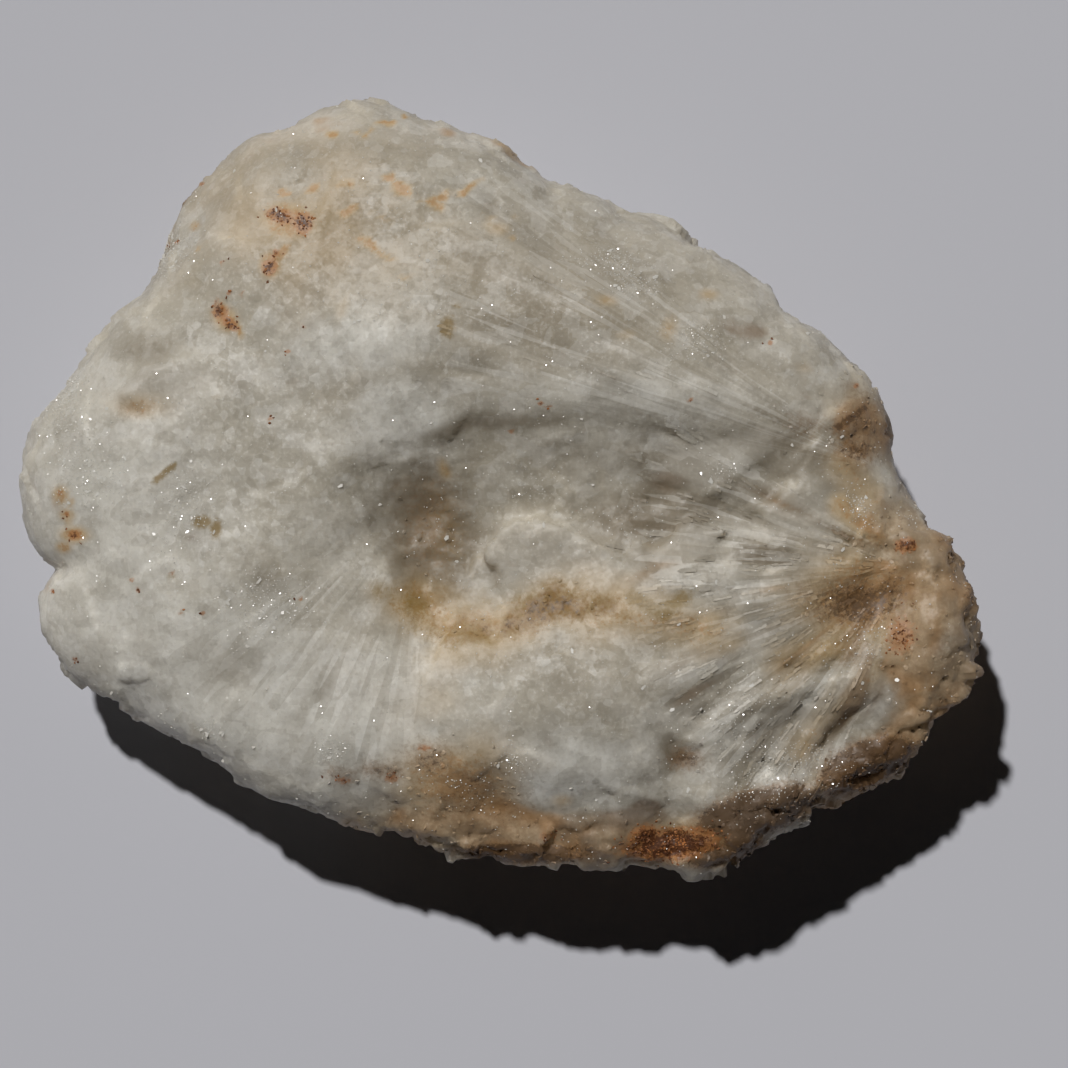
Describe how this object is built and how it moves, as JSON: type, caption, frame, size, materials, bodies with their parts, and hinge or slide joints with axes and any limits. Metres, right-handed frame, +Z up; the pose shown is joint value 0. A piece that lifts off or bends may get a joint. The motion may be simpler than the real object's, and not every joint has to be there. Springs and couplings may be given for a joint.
{
  "type": "celestine mineral specimen",
  "caption": "Hand-sized lump of massive white celestine with a broken hollow, a fan of cleavage blades and an iron-stained crust, lying flat",
  "frame": {"origin": "on the surface the lump rests on, under the middle of its bounding box", "axes": "+Z up through the crown, +X along its length towards the crusted end where the blades spread from, +Y towards its broad domed side"},
  "size_m": [0.0964, 0.077, 0.0237],
  "materials": {
    "celestine": "rough broken cleavage, milky, with fine glitter"
  },
  "bodies": {
    "root": {"celestine_lump": "celestine"}
  },
  "joints": []
}
